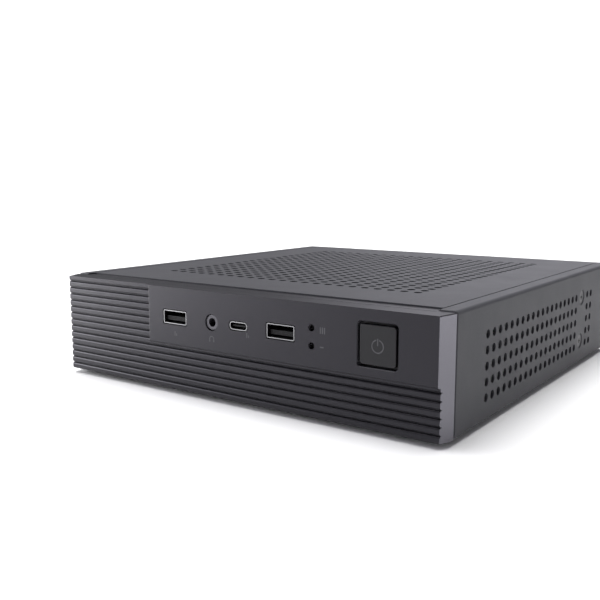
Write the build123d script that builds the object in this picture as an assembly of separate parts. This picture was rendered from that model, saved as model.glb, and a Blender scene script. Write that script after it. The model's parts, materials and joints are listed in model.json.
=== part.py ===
from build123d import *
import math
import os

# A mini PC: a bent steel tray, a perforated cover that slides off to the rear, a ribbed plastic front,
# and the boards, cooler, fan and drive that it holds. Millimetres, +Z up, front towards -Y.
# The origin is in the middle of the footprint, on the surface that the feet stand on.

# Case
WIDTH = 195.0
DEPTH = 206.0
FOOT_HEIGHT = 2.0
FOOT_RADIUS = 7.0
FOOT_X = 82.0
FOOT_Y = 82.0
CASE_HEIGHT = 45.0
SHEET = 1.0
BEND_RADIUS = 1.5
EDGE_RADIUS = 0.5
HALF = WIDTH / 2
TOP = FOOT_HEIGHT + CASE_HEIGHT
FLOOR = FOOT_HEIGHT + SHEET
FRONT = -DEPTH / 2
BEZEL_DEPTH = 7.8
BEZEL_BACK = FRONT + BEZEL_DEPTH
SEAM = 0.9
TRAY_FRONT = BEZEL_BACK + SEAM
TRAY_BACK = 99.0
INNER = HALF - SHEET

# Cover: its side edges step down and run between the tray's top flanges and the rails under them
FLANGE_WIDTH = 6.5
FLANGE_EDGE = HALF - FLANGE_WIDTH
COVER_GAP = 0.6
COVER_HALF = FLANGE_EDGE - COVER_GAP
RUN_GAP = 0.1
COVER_STEP = SHEET + RUN_GAP
RAIL_TOP = TOP - SHEET - COVER_STEP - RUN_GAP
COVER_TAB = 11.0
COVER_FRONT = -90.5
COVER_BACK = TRAY_BACK + RUN_GAP + SHEET
THUMB_X = 86.0
THUMB_Z = 40.5
THUMB_RADIUS = 4.6
THUMB_SHANK = 1.5
FERRULE = 0.6
KNURLS = 24

# Vents: round holes on one square grid
VENT_PITCH = 6.0
VENT_RADIUS = 1.72
TOP_VENTS = 23
TOP_VENT_Y = -62.0
SIDE_VENT_COLUMNS = 23
SIDE_VENT_ROWS = 5
SIDE_VENT_GAP = (19, 20)
SIDE_VENT_Y = -67.5
SIDE_VENT_Z = 11.0
SIDE_SCREW_Y = 49.5
SIDE_SCREW_Z = (13.0, 34.5)
DIMPLE_RADIUS = 3.9
DIMPLE_DEPTH = 1.5
SIDE_SCREW_SEAT = 0.35
SIDE_SCREW_HEAD = 3.1
SIDE_SCREW_LENGTH = 3.3
LOCK_X = -88.0
LOCK_Z = 20.0
LOCK_WIDTH = 3.2
LOCK_HEIGHT = 7.2
FRONT_WINDOW = (-37.0, 86.0, 26.0, 39.0)

# Bezel
SIDE_TAPER = 2.5
BEZEL_TOP = TOP - 0.5
TOP_TAPER = 0.3
BEZEL_EDGE = 0.4
RIB_PITCH = 3.0
RIB_COUNT = 15
RIB_CREST = FRONT + 1.2
RIB_DEPTH = 0.95
RIB_VALLEY = RIB_CREST + RIB_DEPTH
RIB_FLAT = 0.3
RIB_FLANK = 0.7
PANEL_LEFT = -41.6
PANEL_BOTTOM = 21.6
PANEL_RADIUS = 0.7
BEZEL_WALL = 2.5
BEZEL_CAVITY = FRONT + 4.2
HOOK_ROOT = BEZEL_BACK - 4.0
LIP_THICKNESS = 1.6
HOOK_X = (-88.0, -50.0, 50.0, 88.0)
HOOK_WIDTH = 7.0
HOOK_SLOT_HALF = 1.6
HOOK_Z = (7.0, 41.5)
PRINT = 0.1
MARK_Z = 26.8

# Front board and what it carries
PORT_Z = 33.6
FRONT_BOARD_TOP = 30.7
BOARD = 1.6
FRONT_BOARD_BACK = -72.0
FRONT_BOARD_EDGE = -98.2
FRONT_USB_X = (-25.9, 29.4)
FRONT_JACK_X = -5.3
FRONT_USB_C_X = 8.7
INDICATOR_X = 43.8
INDICATOR_Z = (30.0, 36.8)
INDICATOR_RADIUS = 1.35
FACE_SET_BACK = 0.15
JACK_SET_BACK = 0.5
GUIDE_SET_BACK = 1.9
GUIDE_HALF = 1.2
DIODE_HALF = 0.8
DIODE_LENGTH = 1.6
FRONT_SCREW_X = (-30.0, 20.0, 66.0)
FRONT_SCREW_Y = -78.0
POST_HEIGHT = 3.2
BRACKET_FOOT_Z = 12.0
WALL_SCREW_X = (-20.0, 60.0)
WALL_SCREW_Z = 18.0

# Power button
BUTTON_X = 71.6
BUTTON_Z = 33.4
BUTTON_HOLE = 16.3
BUTTON_GAP = 0.9
BUTTON_CORNER = 1.5
BUTTON_EDGE = 0.3
BUTTON_SET_BACK = 0.3
BUTTON_FACE = FRONT + BUTTON_SET_BACK
PLUNGER_FRONT = -97.5
PLUNGER_RADIUS = 1.5
PLUNGER_LENGTH = 2.4
SWITCH_SIZE = 6.0
SYMBOL_RADIUS = 2.5
SYMBOL_LINE = 0.42
SYMBOL_DEPTH = 0.15
SYMBOL_DROP = 0.3

# Sockets, outside sizes
SHELL_WALL = 0.35
USB_A = (13.1, 5.7, 14.0)
USB_C = (8.94, 3.26, 8.0)
HDMI = (15.0, 5.5, 12.0)
DISPLAY_PORT = (16.8, 5.6, 14.0)
JACK_BORE = 1.8
JACK_BARREL = 3.3
JACK_ROUND = 0.4
JACK_DEPTH = 14.0

# Motherboard
BOARD_SIZE = 170.0
BOARD_BOTTOM = 8.0
BOARD_TOP = BOARD_BOTTOM + BOARD
BOARD_BACK = 95.0
BOARD_FRONT = BOARD_BACK - BOARD_SIZE
BOARD_HOLE_X = 78.74
BOARD_HOLES_Y = (84.84, -70.1)
SCREW_RADIUS = 1.45
SCREW_HOLE = 1.6
VESA_PITCH = 100.0
VESA_THREAD = 1.65
NUT_BARREL = 2.7
NUT_FLANGE = 2.5

# Rear panel
SHIELD_HALF = 79.4
SHIELD_BOTTOM = 7.2
SHIELD_TOP = 32.6
REAR_FACE = TRAY_BACK + 0.4
PORT_GAP = 0.4
DC_X = 70.0
DISPLAY_X = 50.0
HDMI_X = 28.5
REAR_USB_X = (7.5, -34.0)
LAN_X = -13.0
REAR_JACK_X = (-53.0, -66.0)
LOW_PORT_Z = BOARD_TOP + 3.3
HIGH_PORT_Z = BOARD_TOP + 11.3
LAN = (16.0, 13.6, 21.0)
DC_BODY = (9.0, 11.0, 14.0)
DC_WELL = 10.0
LAN_CAVITY = 13.0
REAR_JACK_Z = BOARD_TOP + 5.5

# Cooler
CPU_X = -38.0
CPU_Y = -2.0
SOCKET_SIZE = 45.0
CPU_SIZE = 37.5
CPU_TOP = 14.2
SINK_SIZE = 80.0
SINK_BASE = 3.0
SINK_TOP = 27.0
SINK_CORNER = 12.0
FIN_PITCH = 2.8
FIN_THICKNESS = 0.8
FAN_SIZE = 70.0
FAN_HEIGHT = 10.0
FAN_BORE = 32.0
IMPELLER_RADIUS = 30.6
HUB_RADIUS = 13.0
BLADES = 9
SHAFT_RADIUS = 1.5
SHAFT_CLEARANCE = 0.05
SPOKE = 1.8
FAN_HOLE = 30.5
INDUCTORS = 6
CAPACITORS = 6
CELL_X = 64.0
CELL_Y = 18.0

# Memory and cards
MEMORY_X = (3.0, 75.2)
MEMORY_Y = (-69.0, -36.0)
MODULE_Z = 12.0
MODULE_DEPTH = 30.0
M2_ROOT = -4.0
M2_Y = -55.0
WIFI_X = 62.0
WIFI_END = 72.0
CARD_Z = 12.0
CARD_ENDS = ((-82.0, M2_Y), (WIFI_X, WIFI_END))
SATA_X = 41.0

# Drive on its bracket
BRACKET_Z = 34.9
DRIVE_LENGTH = 100.0
DRIVE_WIDTH = 69.85
DRIVE_HEIGHT = 7.0
DRIVE_X = 47.0
DRIVE_BACK = 56.0
DRIVE_BASE = BRACKET_Z + SHEET


def block(x0, x1, y0, y1, z0, z1):
    """A box between two corners."""
    centre = Pos((x0 + x1) / 2, (y0 + y1) / 2, (z0 + z1) / 2)
    return centre * Box(x1 - x0, y1 - y0, z1 - z0)


def rod(point, direction, radius, length):
    """A cylinder that starts at a point and runs along a direction."""
    start = Plane(origin=point, z_dir=direction)
    return start * Cylinder(radius, length, align=(Align.CENTER, Align.CENTER, Align.MIN))


def cone(point, direction, radius, end_radius, length):
    """A cone frustum that starts at a point and runs along a direction."""
    start = Plane(origin=point, z_dir=direction)
    return start * Cone(radius, end_radius, length, align=(Align.CENTER, Align.CENTER, Align.MIN))


def rounded_bar(x, z, width, height, radius, y0, y1):
    """A bar along Y with a rounded rectangle for its section, centred on x and z."""
    start = Plane(origin=(x, y0, z), x_dir=(1, 0, 0), z_dir=(0, -1, 0))
    return extrude(start * RectangleRounded(width, height, radius), -(y1 - y0))


def ring(point, direction, radius, hole, length):
    """A tube that starts at a point and runs along a direction."""
    return rod(point, direction, radius, length) - rod(point, direction, hole, length)


def pan_screw(point, into, radius, length, head_radius, head_height):
    """A screw whose head rests at a point and whose shank runs into the work, with a cross recess."""
    out = tuple(-c for c in into)
    shank = rod(point, into, radius, length)
    head = rod(point, out, head_radius, head_height)
    head = fillet(head.edges().sort_by(Axis(point, out))[-1:], head_height * 0.35)
    return shank + head - cross_recess(point, out, head_radius, head_height)


def cross_recess(point, out, head_radius, head_height):
    """The cross that a screwdriver turns, sunk half way into a head."""
    start = Plane(origin=point, z_dir=out)
    arm = head_radius * 1.1
    slot = head_radius * 0.24
    depth = max(head_height * 0.55, 0.6)
    lift = Pos(0, 0, head_height)
    return start * lift * (Box(arm, slot, depth * 2) + Box(slot, arm, depth * 2))


def group(solids):
    """Separate solids kept in one sub-part."""
    return Compound(children=list(solids))


def grid_y(first, count):
    """The places of a row of vents along Y."""
    return [first + VENT_PITCH * i for i in range(count)]


# ---------------------------------------------------------------- case

def side_vents():
    """Cutters for the vents of both side walls."""
    cutters = []
    for i, y in enumerate(grid_y(SIDE_VENT_Y, SIDE_VENT_COLUMNS)):
        if i in SIDE_VENT_GAP:
            continue
        for row in range(SIDE_VENT_ROWS):
            z = SIDE_VENT_Z + VENT_PITCH * row
            cutters.append(rod((-HALF - 1, y, z), (1, 0, 0), VENT_RADIUS, WIDTH + 2))
    return cutters


def tray_shell():
    """Floor, side walls and top flanges, bent from one sheet."""
    middle = Plane.XZ * Pos(0, FOOT_HEIGHT + CASE_HEIGHT / 2)
    section = middle * RectangleRounded(WIDTH, CASE_HEIGHT, BEND_RADIUS)
    hollow = middle * RectangleRounded(WIDTH - 2 * SHEET, CASE_HEIGHT - 2 * SHEET, BEND_RADIUS - SHEET)
    mouth = Plane.XZ * Pos(0, TOP) * Rectangle(2 * FLANGE_EDGE, 6 * SHEET)
    shell = Pos(0, TRAY_FRONT, 0) * extrude(section - hollow - mouth, -(TRAY_BACK - TRAY_FRONT))

    def at_front_corner(edge):
        middle = edge.center()
        return abs(middle.Y - TRAY_FRONT) < 0.01 and abs(abs(middle.X) - HALF) < 0.01

    return fillet(shell.edges().filter_by(at_front_corner), EDGE_RADIUS)


def rear_port_cutters():
    """The opening for the I/O shield, the lock slot and the holes for the cover's thumbscrews."""
    y0 = TRAY_BACK - 2 * SHEET
    y1 = TRAY_BACK + SHEET
    cutters = [block(-SHIELD_HALF, SHIELD_HALF, y0, y1, SHIELD_BOTTOM, SHIELD_TOP)]
    cutters.append(rounded_bar(LOCK_X, LOCK_Z, LOCK_WIDTH, LOCK_HEIGHT, 1.2, y0, y1))
    for side in (-1, 1):
        cutters.append(rod((side * THUMB_X, y0, THUMB_Z), (0, 1, 0), THUMB_SHANK + 0.2, 3 * SHEET))
    return cutters


def base_tray():
    """The bent tray with its front and rear walls, vents, dimples and threaded floor points."""
    tray = tray_shell()
    rear_top = RAIL_TOP - RUN_GAP
    tray += block(-INNER, INNER, TRAY_BACK - SHEET, TRAY_BACK, FLOOR, rear_top)
    tray += block(-COVER_HALF, COVER_HALF, TRAY_BACK - 8 * SHEET, TRAY_BACK, rear_top - SHEET, rear_top)
    tray += block(-INNER, INNER, TRAY_FRONT, TRAY_FRONT + SHEET, FLOOR, RAIL_TOP - SHEET)
    cutters = rear_port_cutters() + side_vents()
    x0, x1, z0, z1 = FRONT_WINDOW
    y0 = TRAY_FRONT - SHEET
    y1 = TRAY_FRONT + 2 * SHEET
    cutters.append(block(x0, x1, y0, y1, z0, z1))
    half = HOOK_WIDTH / 2 + 0.3
    for x in HOOK_X:
        for z in HOOK_Z:
            cutters.append(block(x - half, x + half, y0, y1, z - HOOK_SLOT_HALF, z + HOOK_SLOT_HALF))
    for x in (-VESA_PITCH / 2, VESA_PITCH / 2):
        for y in (-VESA_PITCH / 2, VESA_PITCH / 2):
            cutters.append(rod((x, y, FOOT_HEIGHT - 1), (0, 0, 1), NUT_BARREL, 3 * SHEET))
    tray -= cutters
    for side in (-1, 1):
        for z in SIDE_SCREW_Z:
            tray = add_dimple(tray, side, z)
    return tray


def add_dimple(tray, side, z):
    """Press one side-screw seat inwards: a cone with a hole at its foot."""
    face = (side * HALF, SIDE_SCREW_Y, z)
    inwards = (-side, 0, 0)
    inner = (side * INNER, SIDE_SCREW_Y, z)
    tray += cone(inner, inwards, DIMPLE_RADIUS + 0.6, SCREW_HOLE + 1.4, DIMPLE_DEPTH)
    tray -= cone(face, inwards, DIMPLE_RADIUS, SCREW_HOLE, DIMPLE_DEPTH)
    return tray - rod(face, inwards, SCREW_HOLE, 4 * SHEET)


def side_screws():
    """Countersunk screws in the dimples, two on each side."""
    screws = []
    for side in (-1, 1):
        for z in SIDE_SCREW_Z:
            start = (side * (HALF - SIDE_SCREW_SEAT), SIDE_SCREW_Y, z)
            inwards = (-side, 0, 0)
            head = cone(start, inwards, SIDE_SCREW_HEAD, SCREW_RADIUS, DIMPLE_DEPTH - SIDE_SCREW_SEAT)
            screw = head + rod(start, inwards, SCREW_RADIUS, SIDE_SCREW_LENGTH)
            recess = cross_recess(start, (side, 0, 0), SIDE_SCREW_HEAD * 0.75, 0.0)
            screws.append(screw - recess)
    return group(screws)


def cover_rails():
    """Angles welded inside the side walls that carry the cover's edges."""
    rails = []
    for side in (-1, 1):
        x0, x1 = sorted((side * FLANGE_EDGE, side * INNER))
        shelf = block(x0, x1, TRAY_FRONT + 2 * SHEET, TRAY_BACK - 2 * SHEET, RAIL_TOP - SHEET, RAIL_TOP)
        x2, x3 = sorted((side * (INNER - SHEET), side * INNER))
        web = block(x2, x3, TRAY_FRONT + 2 * SHEET, TRAY_BACK - 2 * SHEET, RAIL_TOP - 4.5 * SHEET, RAIL_TOP)
        rails.append(shelf + web)
    return group(rails)


def vesa_nuts():
    """Clinch nuts pressed into the floor for a monitor bracket."""
    nuts = []
    for x in (-VESA_PITCH / 2, VESA_PITCH / 2):
        for y in (-VESA_PITCH / 2, VESA_PITCH / 2):
            barrel = rod((x, y, FOOT_HEIGHT), (0, 0, 1), NUT_BARREL, SHEET)
            flange = rod((x, y, FLOOR), (0, 0, 1), NUT_BARREL + 1.3, NUT_FLANGE)
            thread = rod((x, y, 0), (0, 0, 1), VESA_THREAD, FLOOR + NUT_FLANGE + 1)
            nuts.append(barrel + flange - thread)
    return group(nuts)


def rubber_feet():
    """Four round feet stuck under the floor, with a softened rim."""
    feet = []
    for x in (-FOOT_X, FOOT_X):
        for y in (-FOOT_Y, FOOT_Y):
            foot = rod((x, y, 0), (0, 0, 1), FOOT_RADIUS, FOOT_HEIGHT)
            rim = foot.edges().filter_by(GeomType.CIRCLE).sort_by(Axis.Z)[0]
            feet.append(chamfer(rim, 0.5))
    return group(feet)


def top_cover():
    """The perforated plate, its stepped edges and the tab that folds down behind the rear wall."""
    holes = GridLocations(VENT_PITCH, VENT_PITCH, TOP_VENTS, TOP_VENTS)
    length = COVER_BACK - COVER_FRONT
    middle = (COVER_BACK + COVER_FRONT) / 2
    vents_middle = TOP_VENT_Y + VENT_PITCH * (TOP_VENTS - 1) / 2
    plate = Pos(0, middle) * Rectangle(2 * COVER_HALF, length)
    plate -= Pos(0, vents_middle) * holes * Circle(VENT_RADIUS)
    cover = Pos(0, 0, TOP - SHEET) * extrude(plate, SHEET)
    step_top = TOP - COVER_STEP
    for side in (-1, 1):
        x0, x1 = sorted((side * (COVER_HALF - SHEET), side * (INNER - RUN_GAP * 3)))
        cover += block(x0, x1, COVER_FRONT, TRAY_BACK - SHEET, step_top - SHEET, step_top)
        x2, x3 = sorted((side * (COVER_HALF - SHEET), side * COVER_HALF))
        cover += block(x2, x3, COVER_FRONT, TRAY_BACK - SHEET, step_top - SHEET, TOP - SHEET)
    tab_half = HALF - 1.2
    cover += block(-tab_half, tab_half, COVER_BACK - SHEET, COVER_BACK, TOP - COVER_TAB, TOP)
    bend = cover.edges().filter_by(Axis.X).group_by(Axis.Z)[-1].sort_by(Axis.Y)[-1]
    cover = fillet(bend, SHEET * 0.9)
    for side in (-1, 1):
        cover -= rod((side * THUMB_X, TRAY_BACK, THUMB_Z), (0, 1, 0), THUMB_SHANK + 0.3, 4 * SHEET)
    return cover


def thumb_ferrules():
    """Sleeves pressed on the cover's tab that keep the thumbscrews."""
    sleeves = []
    for side in (-1, 1):
        start = (side * THUMB_X, COVER_BACK, THUMB_Z)
        sleeves.append(ring(start, (0, 1, 0), THUMB_RADIUS - 1.0, THUMB_SHANK + 0.3, FERRULE))
    return group(sleeves)


def thumbscrews():
    """Two knurled screws that hold the cover to the rear wall."""
    screws = []
    head_start = COVER_BACK + FERRULE
    head_length = DEPTH / 2 - head_start
    for side in (-1, 1):
        x = side * THUMB_X
        head = rod((x, head_start, THUMB_Z), (0, 1, 0), THUMB_RADIUS, head_length)
        head = chamfer(head.edges().filter_by(GeomType.CIRCLE), 0.4)
        notches = []
        for i in range(KNURLS):
            angle = 2 * math.pi * i / KNURLS
            nx = x + (THUMB_RADIUS + 0.25) * math.cos(angle)
            nz = THUMB_Z + (THUMB_RADIUS + 0.25) * math.sin(angle)
            notches.append(rod((nx, head_start - 1, nz), (0, 1, 0), 0.5, head_length + 2))
        head -= notches
        shank_end = TRAY_BACK - 5 * SHEET
        shank = rod((x, shank_end, THUMB_Z), (0, 1, 0), THUMB_SHANK, head_start - shank_end)
        screw = head + shank
        screws.append(screw - cross_recess((x, head_start, THUMB_Z), (0, 1, 0), 2.6, head_length))
    return group(screws)


# ---------------------------------------------------------------- bezel

def bezel_envelope():
    """The bezel's outer form: a slab that narrows a little towards the front."""
    plan = Plane.XY * make_face(
        Polyline(
            (-HALF + SIDE_TAPER, FRONT),
            (HALF - SIDE_TAPER, FRONT),
            (HALF, BEZEL_BACK),
            (-HALF, BEZEL_BACK),
            close=True,
        )
    )
    side = Plane.YZ * make_face(
        Polyline(
            (FRONT, FOOT_HEIGHT),
            (BEZEL_BACK, FOOT_HEIGHT),
            (BEZEL_BACK, BEZEL_TOP),
            (FRONT, BEZEL_TOP - TOP_TAPER),
            close=True,
        )
    )
    slab = extrude(plan, TOP + 1) & extrude(side, HALF + 1, both=True)
    long_edges = slab.edges().filter_by(lambda e: abs(e.tangent_at(0.5).Y) > 0.9)
    return fillet(long_edges, BEZEL_EDGE)


def rib_edges(low, high):
    """One rib's section in the YZ plane: a flat crest between two rounded flanks."""
    middle = RIB_VALLEY - RIB_DEPTH * math.sin(math.pi / 4)
    rise = RIB_FLANK * (1 - math.cos(math.pi / 4))
    crest_low = (RIB_CREST, low + RIB_FLANK)
    crest_high = (RIB_CREST, high - RIB_FLANK)
    return [
        ThreePointArc((RIB_VALLEY, low), (middle, low + rise), crest_low),
        Line(crest_low, crest_high),
        ThreePointArc(crest_high, (middle, high - rise), (RIB_VALLEY, high)),
    ]


def ribbed_slab():
    """Horizontal ribs over the whole front, run across the full width."""
    edges = []
    for i in range(RIB_COUNT):
        low = FOOT_HEIGHT + RIB_PITCH * i + RIB_FLAT / 2
        high = low + RIB_PITCH - RIB_FLAT
        edges += rib_edges(low, high)
        if i < RIB_COUNT - 1:
            edges.append(Line((RIB_VALLEY, high), (RIB_VALLEY, high + RIB_FLAT)))
    first = (RIB_VALLEY, FOOT_HEIGHT + RIB_FLAT / 2)
    last = (RIB_VALLEY, TOP - RIB_FLAT / 2)
    bottom = (RIB_VALLEY, FOOT_HEIGHT)
    top = (RIB_VALLEY, TOP)
    edges.append(Polyline(last, top, (BEZEL_BACK, TOP), (BEZEL_BACK, FOOT_HEIGHT), bottom, first))
    return extrude(Plane.YZ * make_face(edges), HALF, both=True)


def smooth_panel():
    """The raised smooth area that holds the sockets and the button."""
    panel = block(PANEL_LEFT, HALF + 1, FRONT, BEZEL_BACK, PANEL_BOTTOM, TOP + 1)
    front_edges = panel.edges().filter_by(lambda e: abs(e.center().Y - FRONT) < 0.01)
    left = front_edges.sort_by(Axis.X)[0]
    bottom = front_edges.sort_by(Axis.Z)[0]
    return fillet([left, bottom], PANEL_RADIUS)


def front_cutters():
    """The openings in the smooth panel for sockets, indicators and button."""
    y0 = FRONT - 1
    y1 = BEZEL_CAVITY + 1
    cutters = []
    for x in FRONT_USB_X:
        cutters.append(rounded_bar(x, PORT_Z, USB_A[0] + 0.8, USB_A[1] + 0.8, 0.8, y0, y1))
    cutters.append(rounded_bar(FRONT_USB_C_X, PORT_Z, USB_C[0] + 0.8, USB_C[1] + 0.8, 2.0, y0, y1))
    cutters.append(rod((FRONT_JACK_X, y0, PORT_Z), (0, 1, 0), JACK_BARREL + 0.15, y1 - y0))
    for z in INDICATOR_Z:
        cutters.append(rod((INDICATOR_X, y0, z), (0, 1, 0), INDICATOR_RADIUS, y1 - y0))
    cutters.append(rounded_bar(BUTTON_X, BUTTON_Z, BUTTON_HOLE, BUTTON_HOLE, BUTTON_CORNER, y0, y1))
    return cutters


def front_bezel():
    """The plastic front: ribs, smooth panel, hollow back, top lip and snap hooks."""
    bezel = (ribbed_slab() + smooth_panel()) & bezel_envelope()
    wall = BEZEL_WALL
    bezel -= block(-HALF + wall, HALF - wall, BEZEL_CAVITY, BEZEL_BACK + 1, FOOT_HEIGHT + wall, TOP - wall)
    pocket_left = PANEL_LEFT + 2 * wall
    pocket_bottom = PANEL_BOTTOM + PANEL_RADIUS
    bezel -= block(pocket_left, HALF - 2 * wall, FRONT + wall, BEZEL_BACK, pocket_bottom, TOP - wall)
    bezel -= front_cutters()
    bezel = soften_button_hole(bezel)
    bezel -= front_pictograms().solids()
    lip_bottom = BEZEL_TOP - LIP_THICKNESS
    bezel += block(-COVER_HALF, COVER_HALF, BEZEL_BACK - 1, COVER_FRONT - SEAM, lip_bottom, BEZEL_TOP)
    for x in HOOK_X:
        for z, out in zip(HOOK_Z, (-1, 1)):
            bezel += snap_hook(x, z, out)
    return bezel


def soften_button_hole(bezel):
    """Break the front edge of the button's opening."""
    reach = BUTTON_HOLE / 2 + 0.1

    def on_rim(edge):
        middle = edge.center()
        near = abs(middle.X - BUTTON_X) < reach and abs(middle.Z - BUTTON_Z) < reach
        return near and abs(middle.Y - FRONT) < 0.01

    return chamfer(bezel.edges().filter_by(on_rim), BUTTON_EDGE)


def snap_hook(x, z, out):
    """A tongue from the bezel's rim that clips behind the tray's front wall."""
    rim = FOOT_HEIGHT + BEZEL_WALL if out < 0 else TOP - BEZEL_WALL
    z0, z1 = sorted((z - out * 0.6, z + out * 0.6))
    root0, root1 = sorted((z - out * 0.6, rim))
    half = HOOK_WIDTH / 2
    tongue = block(x - half, x + half, HOOK_ROOT, TRAY_FRONT + 3 * SHEET, z0, z1)
    root = block(x - half, x + half, HOOK_ROOT, BEZEL_BACK, root0, root1)
    b0, b1 = sorted((z + out * 0.5, z + out * 1.4))
    barb = block(x - half, x + half, TRAY_FRONT + SHEET + 0.2, TRAY_FRONT + 2.2 * SHEET, b0, b1)
    return tongue + root + barb


def printed_bar(x, z, width, height):
    """One bar of a small pictogram, let into the smooth panel."""
    return block(x - width / 2, x + width / 2, FRONT, FRONT + PRINT, z - height / 2, z + height / 2)


def front_pictograms():
    """Generic marks: three bars and a dash by the indicators, stems by two sockets, a headset arc."""
    marks = []
    for column in range(3):
        marks.append(printed_bar(INDICATOR_X + 4.0 + 0.9 * column, INDICATOR_Z[1] - 0.6, 0.45, 2.4))
    marks.append(printed_bar(INDICATOR_X + 4.6, INDICATOR_Z[0], 1.6, 0.5))
    for x, z in ((FRONT_USB_X[0], MARK_Z), (FRONT_USB_C_X + 4.4, PORT_Z - 3.2)):
        marks.append(printed_bar(x, z, 0.4, 2.0))
        marks.append(printed_bar(x + 0.9, z - 0.4, 0.4, 1.0))
    arc_start = (FRONT_JACK_X, FRONT, MARK_Z)
    arc = ring(arc_start, (0, 1, 0), 1.3, 0.95, PRINT)
    arc -= block(FRONT_JACK_X - 2, FRONT_JACK_X + 2, FRONT - 1, FRONT + 1, MARK_Z - 2, MARK_Z - 0.3)
    marks.append(arc)
    for side in (-1, 1):
        marks.append(printed_bar(FRONT_JACK_X + side * 1.1, MARK_Z - 0.75, 0.55, 0.8))
    return group(marks)


# ---------------------------------------------------------------- power button

def power_button_cap():
    """The square cap, its retaining flange and the stem that reaches the switch."""
    side = BUTTON_HOLE - 2 * BUTTON_GAP
    flange = BUTTON_HOLE + 1.6
    flange_y = FRONT + BEZEL_WALL + 0.1
    cap = rounded_bar(BUTTON_X, BUTTON_Z, side, side, BUTTON_CORNER * 0.8, BUTTON_FACE, flange_y + 1)
    rim = cap.edges().filter_by(lambda e: abs(e.center().Y - BUTTON_FACE) < 0.01)
    cap = fillet(rim, 0.3)
    cap += rounded_bar(BUTTON_X, BUTTON_Z, flange, flange, BUTTON_CORNER, flange_y, flange_y + 1)
    cap += rod((BUTTON_X, flange_y, BUTTON_Z), (0, 1, 0), 2.5, PLUNGER_FRONT - flange_y)
    return cap - power_symbol_form(0.0)


def power_symbol_form(shrink):
    """The ring-and-bar power symbol, let into the cap's face."""
    face = BUTTON_FACE
    radius = SYMBOL_RADIUS - shrink
    inner = SYMBOL_RADIUS - SYMBOL_LINE + shrink
    loop = ring((BUTTON_X, face, BUTTON_Z - SYMBOL_DROP), (0, 1, 0), radius, inner, SYMBOL_DEPTH)
    gap = SYMBOL_LINE * 1.3
    top = BUTTON_Z + SYMBOL_RADIUS
    loop -= block(BUTTON_X - gap, BUTTON_X + gap, face - 1, face + 1, BUTTON_Z, top)
    half = SYMBOL_LINE / 2 - shrink
    return loop + block(BUTTON_X - half, BUTTON_X + half, face, face + SYMBOL_DEPTH, BUTTON_Z - 0.1, top)


def switch_plunger():
    """The switch's round plunger, pushed by the cap's stem."""
    return rod((BUTTON_X, PLUNGER_FRONT, BUTTON_Z), (0, 1, 0), PLUNGER_RADIUS, PLUNGER_LENGTH)


def power_switch():
    """The switch body on the front board, hollow where the plunger enters."""
    half = SWITCH_SIZE / 2
    y0 = PLUNGER_FRONT + 1.3
    body = block(BUTTON_X - half, BUTTON_X + half, y0, y0 + 4.5, FRONT_BOARD_TOP, BUTTON_Z + half)
    return body - rod((BUTTON_X, y0 - 1, BUTTON_Z), (0, 1, 0), PLUNGER_RADIUS + 0.3, 4.3)


# ---------------------------------------------------------------- sockets

def socket_shell(x, z, size, radius, mouth, inwards, wall=SHELL_WALL):
    """A drawn metal shell along Y, open at its mouth and closed at its back."""
    width, height, depth = size
    back = mouth + inwards * depth
    floor = back - inwards * wall
    outer = rounded_bar(x, z, width, height, radius, *sorted((mouth, back)))
    inner_radius = max(radius - wall, 0.2)
    sizes = (width - 2 * wall, height - 2 * wall, inner_radius)
    return outer - rounded_bar(x, z, *sizes, *sorted((mouth - inwards, floor)))


def tongue(x, z, width, height, mouth, inwards, depth, set_back=1.2):
    """The contact tongue that stands in a socket shell."""
    y0, y1 = sorted((mouth + inwards * set_back, mouth + inwards * (depth - SHELL_WALL)))
    return block(x - width / 2, x + width / 2, y0, y1, z - height / 2, z + height / 2)


def usb_shells(places, mouth, inwards):
    """USB-A shells at a list of x and z places."""
    return group(socket_shell(x, z, USB_A, 0.7, mouth, inwards) for x, z in places)


def usb_tongues():
    """The tongues of the front and rear USB-A sockets."""
    front = [tongue(x, z - 0.6, 11.0, 1.8, FRONT_FACE, 1, USB_A[2]) for x, z in FRONT_USB]
    return group(front + [tongue(x, z - 0.6, 11.0, 1.8, REAR_FACE, -1, USB_A[2]) for x, z in REAR_USB])


def bevelled_bar(x, z, width, height, left, right, y0, y1):
    """A bar along Y whose lower corners are cut off by the given amounts."""
    half = width / 2
    low = z - height / 2
    high = z + height / 2
    points = [(x - half, high), (x - half, low + left), (x - half + left, low)]
    points += [(x + half - right, low), (x + half, low + right), (x + half, high)]
    unique = [p for i, p in enumerate(points) if p != points[i - 1]]
    start = Plane(origin=(0, y0, 0), x_dir=(1, 0, 0), z_dir=(0, -1, 0))
    face = start * make_face(Polyline(*unique, close=True))
    return extrude(face, -(y1 - y0))


def video_shell(x, z, size, left, right):
    """A rear video socket's shell with its keyed corners."""
    width, height, depth = size
    y0 = REAR_FACE - depth
    outer = bevelled_bar(x, z, width, height, left, right, y0, REAR_FACE)
    wall = 2 * SHELL_WALL
    inner = bevelled_bar(x, z, width - wall, height - wall, left, right, y0 + SHELL_WALL, REAR_FACE + 1)
    return outer - inner


def video_shells():
    """The shells of both rear video sockets."""
    first = video_shell(HDMI_X, LOW_PORT_Z, HDMI, 2.0, 2.0)
    return group([first, video_shell(DISPLAY_X, LOW_PORT_Z, DISPLAY_PORT, 0.0, 2.2)])


def video_tongues():
    """The tongues of both rear video sockets."""
    first = tongue(HDMI_X, LOW_PORT_Z + 0.3, 11.0, 1.4, REAR_FACE, -1, HDMI[2])
    return group([first, tongue(DISPLAY_X, LOW_PORT_Z + 0.3, 12.4, 1.4, REAR_FACE, -1, DISPLAY_PORT[2])])


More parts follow.
